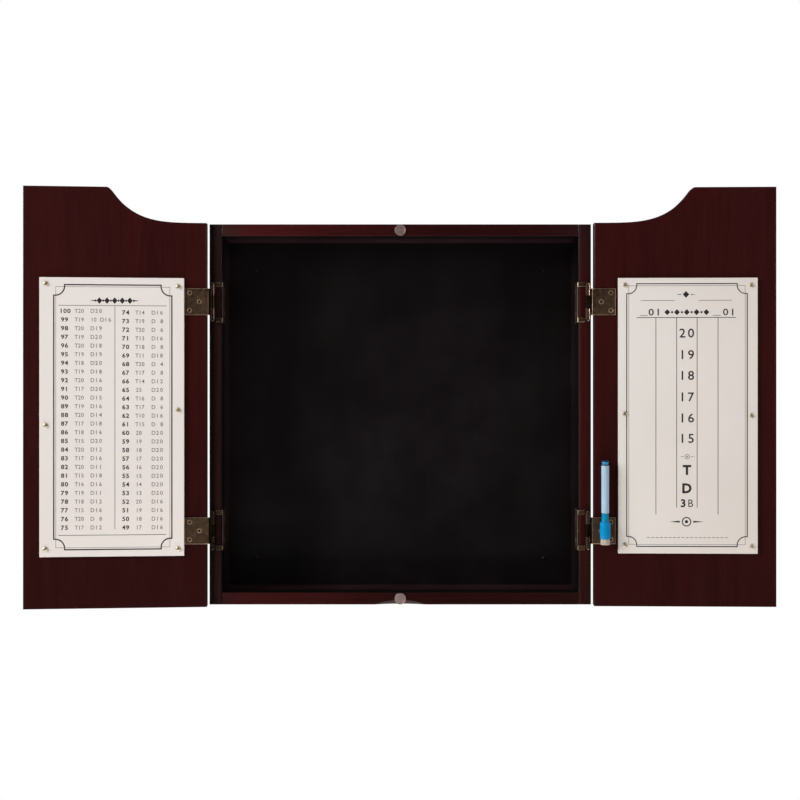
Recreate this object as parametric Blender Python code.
"""Dart board cabinet: a shallow wooden box that hangs on a wall, closed by two
doors with scalloped tops.

A checkout chart is screwed to the inside of the left door and a scoring panel
to the inside of the right one.  Each door swings on two surface hinges whose
small leaf nests between the arms of the larger one.  Disc magnets on the front
edge of the box hold the doors shut.  A marker with a magnetic cap stands on
the lower right hinge leaf.

Frame: metres, +Z up, origin on the wall in the middle of the box's back.  The
cabinet faces -Y, and +X is to the right of a person who looks at it.

Every door part is modelled as if its door were shut, about the hinge axis, and
the empty on that axis turns the whole door to where it stands open.
"""

import math

import bmesh
import bpy
from mathutils import Matrix, Vector

MM = 0.001
GAP = 0.3 * MM  # between pieces that touch

# Box
BOX_W = 544.0 * MM
BOX_H = 544.0 * MM
BOX_D = 71.0 * MM
BOARD = 17.0 * MM
BOARD_EDGE = 0.8 * MM  # eased edge
BACK_T = 5.0 * MM
RABBET = 8.0 * MM  # width of the step that holds the back panel
WALL_HOLE_R = 2.5 * MM
WALL_HOLE_AT = 215.0 * MM

# Finger scoop under the middle of the bottom board
SCOOP_CHORD = 74.0 * MM
SCOOP_RISE = 6.4 * MM

# Catch magnets
MAGNET_R = 8.1 * MM
MAGNET_T = 1.4 * MM

# Doors
DOOR_W = 256.0 * MM
DOOR_T = 16.0 * MM
DOOR_BOTTOM = -274.6 * MM
DOOR_SHOULDER = 272.9 * MM  # top edge beside the hinges
DOOR_TOP = 322.8 * MM  # top edge where the doors meet
DOOR_EDGE = 1.2 * MM  # rounded edge
SCALLOP_END = 139.5 * MM  # from the hinge side, where the scallop reaches the top
SCALLOP_POWER = 4.1
SCALLOP_CORNER = 3.2 * MM
DOOR_OPEN_LEFT = 176.0  # degrees from shut
DOOR_OPEN_RIGHT = 178.7

# Hinge axis
AXIS_IN = 4.2 * MM  # inwards of the box's side
AXIS_OUT = 3.8 * MM  # in front of the box's front edge
AXIS_TO_DOOR = 9.1 * MM  # from the axis to the door's edge
SHUT_GAP = 2.0 * MM  # between a shut door and the box
HINGE_Z = (160.5 * MM, -165.5 * MM)

# Hinge
KNUCKLE_R = 3.5 * MM
KNUCKLE_BORE_R = 1.7 * MM
KNUCKLE_END = 25.0 * MM  # half the length of the row of knuckles
KNUCKLE_MID = 9.0 * MM  # half the length of the door's knuckle
PIN_R = 1.4 * MM
PIN_TIP_R = 3.1 * MM
PIN_TIP = 2.9 * MM
LEAF_T = 1.2 * MM
LEAF_H = 38.0 * MM
LEAF_REACH = 38.8 * MM  # from the axis to the door leaf's far edge
LEAF_START = 4.2 * MM
FRAME_LEAF_H = 57.0 * MM
ARM_H = 6.0 * MM
FRAME_LEAF_DEPTH = 22.0 * MM  # along the inside of the board
LEAF_SCREWS = ((32.0 * MM, 12.5 * MM), (18.3 * MM, 0.0), (32.0 * MM, -12.5 * MM))
FRAME_SCREW_Z = 15.0 * MM
FRAME_SCREW_DEPTH = 14.0 * MM

# Countersunk wood screws in the hinges
CSK_R = 3.3 * MM
CSK_H = 1.8 * MM
SCREW_R = 1.5 * MM
SCREW_L = 14.0 * MM

# Round-headed brass screws in the panels
PAN_R = 3.3 * MM
PAN_H = 1.6 * MM
PAN_SHANK_R = 1.3 * MM
PAN_L = 14.0 * MM

# Panels: distance of the middle from the hinge axis, height of the middle,
# width, height, and the screws as (distance from the axis, height)
PANEL_T = 3.0 * MM
CHART = (140.2 * MM, -3.5 * MM, 201.3 * MM, 394.2 * MM)
CHART_SCREWS = (
    (47.4 * MM, 181.4 * MM),
    (231.8 * MM, 184.5 * MM),
    (47.8 * MM, 6.4 * MM),
    (231.9 * MM, -14.9 * MM),
    (47.8 * MM, -190.3 * MM),
    (232.4 * MM, -188.9 * MM),
)
SCORE = (140.6 * MM, -1.7 * MM, 196.8 * MM, 391.5 * MM)
SCORE_SCREWS = (
    (51.6 * MM, 184.0 * MM),
    (230.2 * MM, 183.5 * MM),
    (51.3 * MM, 0.6 * MM),
    (230.4 * MM, -1.6 * MM),
    (51.5 * MM, -185.3 * MM),
    (230.8 * MM, -187.2 * MM),
)

# Marker, standing cap down on the lower right door leaf
MARKER_D = 22.7 * MM  # distance of its axis from the hinge axis
CAP_R = 7.4 * MM
CAP_SKIRT_R = 4.9 * MM
CAP_BORE_R = 4.1 * MM
CAP_LOW = -175.9 * MM
CAP_SHOULDER = -152.4 * MM
CAP_TOP = -140.0 * MM
CAP_BORE_LOW = -167.0 * MM
ERASER_R = 6.5 * MM
ERASER_LOW = -184.4 * MM
BARREL_R = 5.6 * MM
BARREL_TOP = -72.2 * MM
BARREL_LOW = -139.7 * MM
BARREL_BORE_R = 4.5 * MM
SECTION_R = 3.7 * MM
SECTION_LOW = -154.0 * MM
NIB_R = 2.0 * MM
NIB_LOW = -162.0 * MM
PLUG_TOP = -65.9 * MM
PLUG_R = 4.9 * MM

AXIS_X = BOX_W / 2 - AXIS_IN
AXIS_Y = -BOX_D - AXIS_OUT
INNER = BOX_W / 2 - BOARD
DOOR_IN = AXIS_OUT - SHUT_GAP  # the shut door's inner face, behind the axis
LEAF_BACK = DOOR_IN + GAP  # near face of the door leaf, behind the axis
LEAF_FRONT = LEAF_BACK + LEAF_T


def clear():
    for obj in list(bpy.data.objects):
        bpy.data.objects.remove(obj, do_unlink=True)
    for mesh in list(bpy.data.meshes):
        bpy.data.meshes.remove(mesh)
    for material in list(bpy.data.materials):
        bpy.data.materials.remove(material)


def material(name, colour, roughness, metallic=0.0):
    made = bpy.data.materials.new(name)
    made.use_nodes = True
    shader = made.node_tree.nodes["Principled BSDF"]
    shader.inputs["Base Color"].default_value = (*colour, 1.0)
    shader.inputs["Roughness"].default_value = roughness
    shader.inputs["Metallic"].default_value = metallic
    made.diffuse_color = (*colour, 1.0)
    return made


def empty(name, location, turn=0.0, parent=None):
    made = bpy.data.objects.new(name, None)
    made.location = location
    made.rotation_euler = (0.0, 0.0, turn)
    made.parent = parent
    bpy.context.scene.collection.objects.link(made)
    return made


def add(name, bm, mat=None, parent=None, location=(0, 0, 0), rotation=(0, 0, 0), smooth=None):
    """A new object from a bmesh, with its normals out and its sharp edges marked."""
    bmesh.ops.recalc_face_normals(bm, faces=bm.faces)
    mesh = bpy.data.meshes.new(name)
    bm.to_mesh(mesh)
    bm.free()
    if smooth is not None:
        mesh.shade_smooth()
        mesh.set_sharp_from_angle(angle=math.radians(smooth))
    made = bpy.data.objects.new(name, mesh)
    if mat is not None:
        mesh.materials.append(mat)
    made.parent = parent
    made.location = location
    made.rotation_euler = rotation
    bpy.context.scene.collection.objects.link(made)
    return made


def helper(obj):
    """Makes an object a cutter or a guide."""
    obj.hide_render = True
    obj.display_type = "WIRE"
    return obj


def box(low, high):
    bm = bmesh.new()
    size = Vector(high) - Vector(low)
    middle = (Vector(high) + Vector(low)) / 2
    bmesh.ops.create_cube(bm, size=1.0)
    bmesh.ops.scale(bm, vec=size, verts=bm.verts)
    bmesh.ops.translate(bm, vec=middle, verts=bm.verts)
    return bm


def span(*points):
    """The lowest and highest corners of a set of points."""
    low = [min(p[i] for p in points) for i in range(3)]
    high = [max(p[i] for p in points) for i in range(3)]
    return low, high


def prism(points, vector):
    """A closed outline swept along a vector."""
    bm = bmesh.new()
    face = bm.faces.new([bm.verts.new(p) for p in points])
    swept = bmesh.ops.extrude_face_region(bm, geom=[face])
    verts = [v for v in swept["geom"] if isinstance(v, bmesh.types.BMVert)]
    bmesh.ops.translate(bm, vec=Vector(vector), verts=verts)
    return bm


def turned(profile, segments):
    """A profile of (radius, height) turned about Z.  Ends on the axis close to a
    point; a profile that keeps off the axis closes on itself as a ring."""
    bm = bmesh.new()
    rings = []
    for r, z in profile:
        if r <= 0.0:
            rings.append([bm.verts.new((0.0, 0.0, z))])
            continue
        rings.append(
            [
                bm.verts.new(
                    (
                        r * math.cos(2 * math.pi * i / segments),
                        r * math.sin(2 * math.pi * i / segments),
                        z,
                    )
                )
                for i in range(segments)
            ]
        )
    pairs = list(zip(rings, rings[1:]))
    if len(rings[0]) > 1 and len(rings[-1]) > 1:
        pairs.append((rings[-1], rings[0]))
    for a, b in pairs:
        for i in range(segments):
            j = (i + 1) % segments
            if len(a) == 1:
                bm.faces.new((a[0], b[j], b[i]))
            elif len(b) == 1:
                bm.faces.new((a[i], a[j], b[0]))
            else:
                bm.faces.new((a[i], a[j], b[j], b[i]))
    return bm


def rounded(r, low, high, radius, steps=3):
    """Profile of a rod from low to high with rounded ends."""
    profile = [(0.0, low)]
    for i in range(steps + 1):
        a = math.pi / 2 * i / steps
        profile.append((r - radius + radius * math.sin(a), low + radius - radius * math.cos(a)))
    for i in range(steps + 1):
        a = math.pi / 2 * i / steps
        profile.append((r - radius + radius * math.cos(a), high - radius + radius * math.sin(a)))
    profile.append((0.0, high))
    return profile


def boolean(target, other, operation="DIFFERENCE"):
    mod = target.modifiers.new(other.name, "BOOLEAN")
    mod.operation = operation
    mod.object = other
    mod.solver = "EXACT"


def bevel(target, width, segments=2):
    mod = target.modifiers.new("eased_edges", "BEVEL")
    mod.width = width
    mod.segments = segments
    mod.limit_method = "ANGLE"
    mod.angle_limit = math.radians(40)
    mod.use_clamp_overlap = False


def csk_screw():
    return turned(
        (
            (0.0, 0.0),
            (CSK_R, 0.0),
            (SCREW_R, -CSK_H),
            (SCREW_R, -SCREW_L + 2 * MM),
            (0.0, -SCREW_L),
        ),
        12,
    )


def csk_hole():
    return turned(
        (
            (0.0, 1.5 * MM),
            (CSK_R + 0.35 * MM, 1.5 * MM),
            (CSK_R + 0.35 * MM, -0.1 * MM),
            (SCREW_R + 0.35 * MM, -CSK_H - 0.1 * MM),
            (SCREW_R + 0.35 * MM, -SCREW_L - 0.4 * MM),
            (0.0, -SCREW_L - 0.4 * MM),
        ),
        12,
    )


def pan_screw():
    dome = [(0.0, PAN_H)]
    for i in range(1, 4):
        a = math.pi / 2 * i / 3
        dome.append((PAN_R * math.sin(a), 0.3 * MM + (PAN_H - 0.3 * MM) * math.cos(a)))
    dome.append((PAN_R, 0.0))
    return turned(
        dome
        + [
            (PAN_SHANK_R, 0.0),
            (PAN_SHANK_R, -PAN_L + 2 * MM),
            (0.0, -PAN_L),
        ],
        12,
    )


def pan_hole():
    r = PAN_SHANK_R + 0.35 * MM
    return turned(((0.0, 2 * MM), (r, 2 * MM), (r, -PAN_L - 0.4 * MM), (0.0, -PAN_L - 0.4 * MM)), 12)


def build_box(wood, black, steel):
    """Four boards round a back panel: the sides run full height, and the top and
    bottom boards fit between them."""
    half = BOX_W / 2
    step = INNER + RABBET
    rabbet = helper(
        add(
            "rabbet_cutter",
            box((-step, -BACK_T - GAP, -step), (step, 2 * MM, step)),
        )
    )
    boards = {
        "left_side_board": ((-half, -BOX_D, -BOX_H / 2), (-INNER, 0.0, BOX_H / 2)),
        "right_side_board": ((INNER, -BOX_D, -BOX_H / 2), (half, 0.0, BOX_H / 2)),
        "top_board": ((-INNER + GAP, -BOX_D, INNER), (INNER - GAP, 0.0, BOX_H / 2)),
        "bottom_board": ((-INNER + GAP, -BOX_D, -BOX_H / 2), (INNER - GAP, 0.0, -INNER)),
    }
    made = {}
    for name, (low, high) in boards.items():
        board = add(name, box(low, high), wood)
        bevel(board, BOARD_EDGE)
        boolean(board, rabbet)
        made[name] = board

    # The scoop is a round groove whose lines run from the front edge down and
    # back, so its profile is drawn across that slope.
    rise = SCOOP_RISE / math.sqrt(2)
    radius = ((SCOOP_CHORD / 2) ** 2 + rise**2) / (2 * rise)
    into = Vector((0.0, 1.0, 1.0)).normalized()
    along = Vector((0.0, 1.0, -1.0)).normalized()
    corner = Vector((0.0, -BOX_D, -BOX_H / 2))
    outline = []
    reach = SCOOP_CHORD / 2 + 4 * MM
    steps = 18
    for i in range(steps + 1):
        x = -reach + 2 * reach * i / steps
        w = rise - radius + math.sqrt(radius**2 - x**2)
        outline.append(corner + Vector((x, 0, 0)) + into * w - along * 25 * MM)
    outline.append(corner + Vector((reach, 0, 0)) - into * 8 * MM - along * 25 * MM)
    outline.append(corner + Vector((-reach, 0, 0)) - into * 8 * MM - along * 25 * MM)
    scoop = helper(add("finger_scoop_cutter", prism(outline, along * 50 * MM)))
    boolean(made["bottom_board"], scoop)

    edge = step - GAP
    back = add("back_panel", box((-edge, -BACK_T, -edge), (edge, 0.0, edge)), black)
    for sx in (-1, 1):
        for sz in (-1, 1):
            hole = helper(
                add(
                    "wall_hole_cutter",
                    turned(
                        (
                            (0.0, 6 * MM),
                            (WALL_HOLE_R, 6 * MM),
                            (WALL_HOLE_R, -6 * MM),
                            (0.0, -6 * MM),
                        ),
                        16,
                    ),
                    location=(sx * WALL_HOLE_AT, -BACK_T / 2, sz * WALL_HOLE_AT),
                    rotation=(math.pi / 2, 0, 0),
                )
            )
            boolean(back, hole)

    for name, z in (("top", BOX_H / 2 - BOARD / 2), ("bottom", -BOX_H / 2 + BOARD / 2)):
        add(
            "catch_magnet_" + name,
            turned(rounded(MAGNET_R, 0.0, MAGNET_T, 0.3 * MM, 1), 24),
            steel,
            location=(0.0, -BOX_D - GAP, z),
            rotation=(math.pi / 2, 0, 0),
            smooth=40,
        )
    return made


def scallop_outline(side):
    """The door's outline about the hinge axis, shut: straight round three sides,
    with the top edge rising along a power curve from the hinge side."""
    near, far = AXIS_TO_DOOR, AXIS_TO_DOOR + DOOR_W
    drop = DOOR_TOP - DOOR_SHOULDER
    end = near + SCALLOP_END
    points = [(near, DOOR_BOTTOM), (near, DOOR_SHOULDER)]
    # The curve stops short of the top, where a small round leads into the flat.
    steps = 26
    last = SCALLOP_END - SCALLOP_CORNER * 0.9
    for i in range(3, steps + 1):
        u = last * (1 - (1 - i / steps) ** 1.35)
        points.append((near + u, DOOR_SHOULDER + drop * (u / SCALLOP_END) ** SCALLOP_POWER))
    d0, z0 = points[-1]
    d3, z3 = end + SCALLOP_CORNER * 1.1, DOOR_TOP
    slope = drop * SCALLOP_POWER / SCALLOP_END * (last / SCALLOP_END) ** (SCALLOP_POWER - 1)
    rise = z3 - z0
    d1, z1 = d0 + rise / slope * 0.9, z0 + rise * 0.9
    for i in range(1, 6):
        t = i / 5
        d = (1 - t) ** 2 * d0 + 2 * t * (1 - t) * d1 + t * t * d3
        z = (1 - t) ** 2 * z0 + 2 * t * (1 - t) * z1 + t * t * z3
        points.append((d, z))
    points += [(far, DOOR_TOP), (far, DOOR_BOTTOM)]
    return [(-side * d, z) for d, z in points]


def build_door(name, side, axis, wood):
    outline = [(x, DOOR_IN, z) for x, z in scallop_outline(side)]
    door = add(name, prism(outline, (0.0, -DOOR_T, 0.0)), wood, parent=axis)
    bevel(door, DOOR_EDGE)
    return door


def on_door(side, d, behind, z):
    """A point in a shut door's own frame: along it, behind the axis, and up."""
    return (-side * d, behind, z)


FACING_IN = (-math.pi / 2, 0.0, 0.0)


def build_panel(name, screw_name, side, axis, door, plate, screws, mat, brass):
    middle, height, w, h = plate
    back = DOOR_IN + GAP
    low, high = span(
        on_door(side, middle - w / 2, back, height - h / 2),
        on_door(side, middle + w / 2, back + PANEL_T, height + h / 2),
    )
    panel = add(name, box(low, high), mat, parent=axis)
    bevel(panel, 0.4 * MM, 1)
    for i, (d, z) in enumerate(screws):
        place = on_door(side, d, back + PANEL_T + GAP, z)
        add(f"{screw_name}_{i + 1}", pan_screw(), brass, axis, place, FACING_IN, smooth=40)
        hole = helper(add(f"{screw_name}_cutter", pan_hole(), None, axis, place, FACING_IN))
        boolean(panel, hole)
        boolean(door, hole)
    return panel


def build_hinge(place, side, axis, z, door, board, bronze, screw_metal):
    name = place + "_hinge_"

    # Leaf on the door: a plate and a tongue that ends in the middle knuckle.
    low, high = span(
        on_door(side, LEAF_START, LEAF_BACK, z - LEAF_H / 2),
        on_door(side, LEAF_REACH, LEAF_FRONT, z + LEAF_H / 2),
    )
    leaf = add(name + "door_leaf", box(low, high), bronze, parent=axis)
    low, high = span(
        on_door(side, 0.0, LEAF_BACK + 0.02 * MM, z - KNUCKLE_MID + 0.2 * MM),
        on_door(side, LEAF_START + 1.5 * MM, LEAF_FRONT - 0.02 * MM, z + KNUCKLE_MID - 0.2 * MM),
    )
    tongue = helper(add(name + "tongue", box(low, high), parent=axis))
    knuckle = helper(
        add(
            name + "middle_knuckle",
            turned(
                (
                    (KNUCKLE_R, KNUCKLE_MID),
                    (KNUCKLE_BORE_R, KNUCKLE_MID),
                    (KNUCKLE_BORE_R, -KNUCKLE_MID),
                    (KNUCKLE_R, -KNUCKLE_MID),
                ),
                16,
            ),
            parent=axis,
            location=(0, 0, z),
        )
    )
    boolean(leaf, tongue, "UNION")
    boolean(leaf, knuckle, "UNION")
    for i, (d, dz) in enumerate(LEAF_SCREWS):
        place = on_door(side, d, LEAF_FRONT, z + dz)
        add(f"{name}door_screw_{i + 1}", csk_screw(), screw_metal, axis, place, FACING_IN, smooth=40)
        hole = helper(add(f"{name}door_screw_cutter", csk_hole(), None, axis, place, FACING_IN))
        boolean(leaf, hole)
        boolean(door, hole)

    # Leaf on the box: a plate inside the side board and two arms that fold over
    # the board's front edge to the outer knuckles.
    front = -BOX_D
    half = FRAME_LEAF_H / 2
    x_in = INNER - GAP - LEAF_T
    low, high = span(
        (side * x_in, front + 0.6 * MM, z - half),
        (side * (INNER - GAP), front + FRAME_LEAF_DEPTH, z + half),
    )
    frame_leaf = add(name + "frame_leaf", box(low, high), bronze)
    arm_back = front - 0.4 * MM
    arm_front = front - 0.4 * MM - 1.1 * MM
    for end in (-1, 1):
        word = "upper" if end > 0 else "lower"
        # across the board's front edge, and round its inner corner
        outline = [
            (side * x_in, front + 3 * MM),
            (side * x_in, arm_front + 0.5 * MM),
            (side * (x_in + 0.5 * MM), arm_front),
            (side * (AXIS_X - 3.9 * MM), arm_front),
            (side * (AXIS_X - 3.9 * MM), arm_back),
            (side * (INNER - GAP - 0.05 * MM), arm_back),
            (side * (INNER - GAP - 0.05 * MM), front + 3 * MM),
        ]
        top = z + end * half
        arm = helper(
            add(
                name + word + "_arm",
                prism([(x, y, top - end * 0.05 * MM) for x, y in outline], (0, 0, -end * ARM_H)),
            )
        )
        z_a, z_b = z + end * (half - ARM_H + 0.1 * MM), z + end * (KNUCKLE_END - 0.2 * MM)
        low, high = span(
            (side * (AXIS_X - 4.4 * MM), arm_front + 0.03 * MM, z_a),
            (side * AXIS_X, arm_back - 0.03 * MM, z_b),
        )
        link = helper(add(name + word + "_link", box(low, high)))
        inner_end, outer_end = KNUCKLE_MID + GAP, KNUCKLE_END
        knuckle = helper(
            add(
                name + word + "_knuckle",
                turned(
                    (
                        (KNUCKLE_R, outer_end),
                        (KNUCKLE_BORE_R, outer_end),
                        (KNUCKLE_BORE_R, inner_end),
                        (KNUCKLE_R, inner_end),
                    ),
                    16,
                ),
                location=(side * AXIS_X, AXIS_Y, z),
                rotation=(0.0 if end > 0 else math.pi, 0, 0),
            )
        )
        boolean(frame_leaf, arm, "UNION")
        boolean(frame_leaf, link, "UNION")
        boolean(frame_leaf, knuckle, "UNION")
    for i, dz in enumerate((FRAME_SCREW_Z, -FRAME_SCREW_Z)):
        place = (side * x_in, front + FRAME_SCREW_DEPTH, z + dz)
        turn = (0.0, -side * math.pi / 2, 0.0)
        add(f"{name}frame_screw_{i + 1}", csk_screw(), screw_metal, None, place, turn, smooth=40)
        hole = helper(add(f"{name}frame_screw_cutter", csk_hole(), None, None, place, turn))
        boolean(frame_leaf, hole)
        boolean(board, hole)

    # Pin with a rounded tip at each end
    tip_low = KNUCKLE_END + GAP
    profile = [(0.0, tip_low + PIN_TIP)]
    for i in range(1, 4):
        a = math.pi / 2 * i / 3
        profile.append(
            (PIN_TIP_R * math.sin(a), tip_low + 0.8 * MM + (PIN_TIP - 0.8 * MM) * math.cos(a))
        )
    profile += [(PIN_TIP_R, tip_low), (PIN_R, tip_low)]
    profile += [(r, -h) for r, h in reversed(profile)]
    add(
        name + "pin",
        turned(profile, 12),
        bronze,
        location=(side * AXIS_X, AXIS_Y, z),
        smooth=40,
    )


def build_marker(axis, barrel_mat, cap_mat, plug_mat, felt):
    """Dry-wipe marker: the cap carries the magnet and the eraser, and the pen
    pulls up out of it."""
    place = on_door(1, MARKER_D, LEAF_FRONT + GAP + CAP_R, 0.0)
    carrier = empty("marker_axis", place, 0.0, axis)
    add(
        "marker_cap",
        turned(
            (
                (0.0, CAP_LOW),
                (CAP_R - 0.7 * MM, CAP_LOW),
                (CAP_R, CAP_LOW + 0.7 * MM),
                (CAP_R, CAP_SHOULDER - 1.0 * MM),
                (CAP_R - 0.8 * MM, CAP_SHOULDER),
                (CAP_SKIRT_R + 0.3 * MM, CAP_SHOULDER + 0.4 * MM),
                (CAP_SKIRT_R, CAP_SHOULDER + 1.4 * MM),
                (CAP_SKIRT_R - 0.2 * MM, CAP_TOP),
                (CAP_BORE_R, CAP_TOP),
                (CAP_BORE_R, CAP_BORE_LOW),
                (0.0, CAP_BORE_LOW),
            ),
            20,
        ),
        cap_mat,
        carrier,
        smooth=40,
    )
    add(
        "marker_eraser",
        turned(rounded(ERASER_R, ERASER_LOW, CAP_LOW - GAP, 0.9 * MM, 2), 20),
        felt,
        carrier,
        smooth=40,
    )
    add(
        "marker_barrel",
        turned(
            (
                (0.0, SECTION_LOW + 7 * MM),
                (NIB_R + GAP, SECTION_LOW + 7 * MM),
                (NIB_R + GAP, SECTION_LOW),
                (SECTION_R - 0.8 * MM, SECTION_LOW),
                (SECTION_R, SECTION_LOW + 2 * MM),
                (SECTION_R, BARREL_LOW),
                (BARREL_R - 0.4 * MM, BARREL_LOW),
                (BARREL_R, BARREL_LOW + 0.8 * MM),
                (BARREL_R, BARREL_TOP - 0.8 * MM),
                (BARREL_R - 0.6 * MM, BARREL_TOP),
                (BARREL_BORE_R, BARREL_TOP),
                (BARREL_BORE_R, SECTION_LOW + 17 * MM),
                (0.0, SECTION_LOW + 17 * MM),
            ),
            20,
        ),
        barrel_mat,
        carrier,
        smooth=40,
    )
    add(
        "marker_nib",
        turned(
            (
                (0.0, NIB_LOW),
                (NIB_R * 0.55, NIB_LOW + 0.5 * MM),
                (NIB_R * 0.95, NIB_LOW + 2.2 * MM),
                (NIB_R, NIB_LOW + 4 * MM),
                (NIB_R, SECTION_LOW + 7 * MM - GAP),
                (0.0, SECTION_LOW + 7 * MM - GAP),
            ),
            12,
        ),
        felt,
        carrier,
        smooth=50,
    )
    add(
        "marker_end_plug",
        turned(
            (
                (0.0, BARREL_TOP - 7 * MM),
                (BARREL_BORE_R - GAP, BARREL_TOP - 7 * MM),
                (BARREL_BORE_R - GAP, BARREL_TOP + GAP),
                (PLUG_R - 0.4 * MM, BARREL_TOP + GAP),
                (PLUG_R - 0.4 * MM, BARREL_TOP + 1.5 * MM),
                (PLUG_R - 0.9 * MM, BARREL_TOP + 2.2 * MM),
                (PLUG_R - 0.9 * MM, BARREL_TOP + 3.0 * MM),
                (PLUG_R, BARREL_TOP + 3.8 * MM),
                (PLUG_R, PLUG_TOP - 1.0 * MM),
                (PLUG_R - 1.0 * MM, PLUG_TOP),
                (0.0, PLUG_TOP),
            ),
            20,
        ),
        plug_mat,
        carrier,
        smooth=40,
    )


def main():
    clear()
    wood = material("mahogany", (0.045, 0.009, 0.008), 0.38)
    black = material("black_board", (0.006, 0.005, 0.006), 0.6)
    magnet = material("magnet_steel", (0.30, 0.28, 0.27), 0.4, 0.9)
    bronze = material("antique_bronze", (0.085, 0.055, 0.035), 0.42, 0.85)
    bronze_screw = material("bronze_screw", (0.16, 0.12, 0.08), 0.38, 0.9)
    brass = material("brass", (0.62, 0.46, 0.22), 0.3, 1.0)
    panel = material("dry_wipe_white", (0.80, 0.76, 0.72), 0.25)
    barrel = material("marker_light_blue", (0.45, 0.62, 0.80), 0.3)
    cap = material("marker_blue", (0.0, 0.27, 0.65), 0.3)
    plug = material("marker_dark_blue", (0.0, 0.12, 0.32), 0.35)
    felt = material("felt_cream", (0.70, 0.62, 0.52), 0.95)

    boards = build_box(wood, black, magnet)
    for word, side, angle in (("left", -1, DOOR_OPEN_LEFT), ("right", 1, DOOR_OPEN_RIGHT)):
        axis = empty(
            word + "_door_axis", (side * AXIS_X, AXIS_Y, 0.0), side * math.radians(angle)
        )
        door = build_door(word + "_door", side, axis, wood)
        if word == "left":
            build_panel("chart_panel", "chart_panel_screw", side, axis, door, CHART, CHART_SCREWS, panel, brass)
        else:
            build_panel("score_panel", "score_panel_screw", side, axis, door, SCORE, SCORE_SCREWS, panel, brass)
            build_marker(axis, barrel, cap, plug, felt)
        for level, z in zip(("upper", "lower"), HINGE_Z):
            board = boards[word + "_side_board"]
            build_hinge(f"{level}_{word}", side, axis, z, door, board, bronze, bronze_screw)


main()
